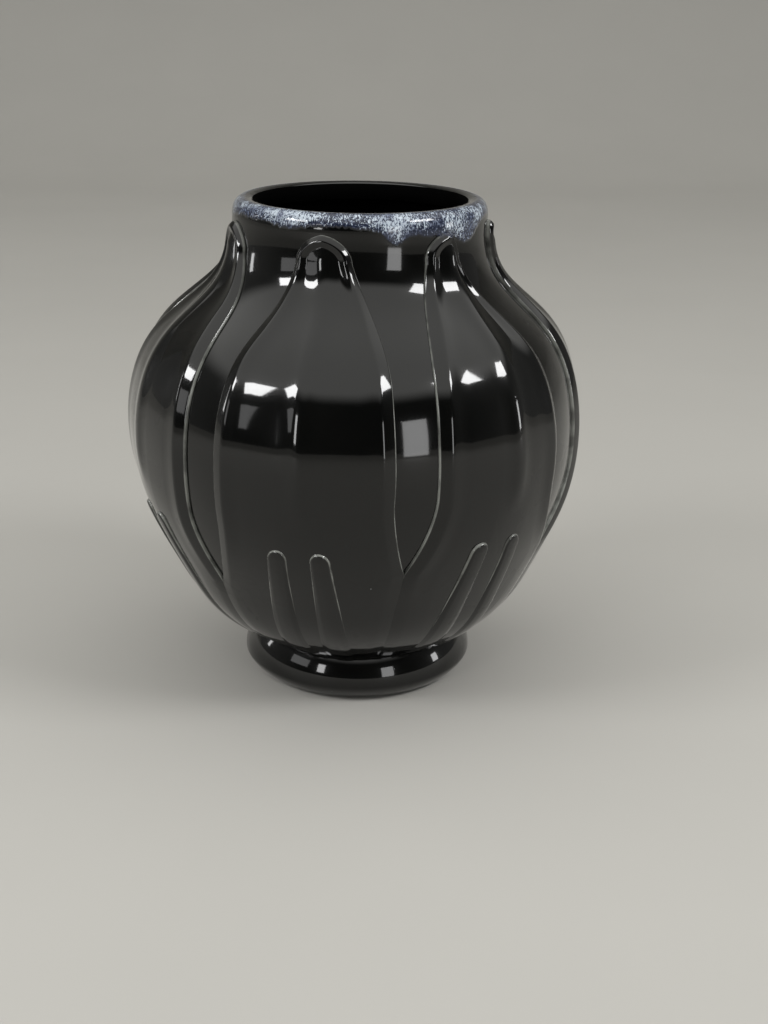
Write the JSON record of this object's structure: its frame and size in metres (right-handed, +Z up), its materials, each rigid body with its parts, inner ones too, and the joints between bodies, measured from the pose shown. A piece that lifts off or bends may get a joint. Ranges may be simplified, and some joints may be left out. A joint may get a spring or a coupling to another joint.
{
  "type": "art pottery vase",
  "caption": "Round bellied pottery vase with a rolled foot ring, wide mouth, applied pointed leaves and shoots, black glaze and a speckled rim.",
  "frame": {"origin": "the middle of the flat face that the foot ring stands on", "axes": "+Z up along the vase's own axis, from the foot to the mouth; -Y towards the side that the picture shows"},
  "size_m": [0.2138, 0.2133, 0.23],
  "materials": {
    "black_glaze": "deep black glaze with a mirror gloss",
    "rim_glaze": "glossy blue and white speckled glaze over dark blue"
  },
  "bodies": {
    "root": {"foot_ring": "black_glaze", "body_wall": "black_glaze", "rim_roll": "rim_glaze", "leaf_1": "black_glaze", "leaf_2": "black_glaze", "leaf_3": "black_glaze", "leaf_4": "black_glaze", "leaf_5": "black_glaze", "leaf_6": "black_glaze", "leaf_7": "black_glaze", "shoot_1_left": "black_glaze", "shoot_1_right": "black_glaze", "shoot_2_left": "black_glaze", "shoot_2_right": "black_glaze", "shoot_3_left": "black_glaze", "shoot_3_right": "black_glaze", "shoot_4_left": "black_glaze", "shoot_4_right": "black_glaze", "shoot_5_left": "black_glaze", "shoot_5_right": "black_glaze", "shoot_6_left": "black_glaze", "shoot_6_right": "black_glaze", "shoot_7_left": "black_glaze", "shoot_7_right": "black_glaze"}
  },
  "joints": []
}
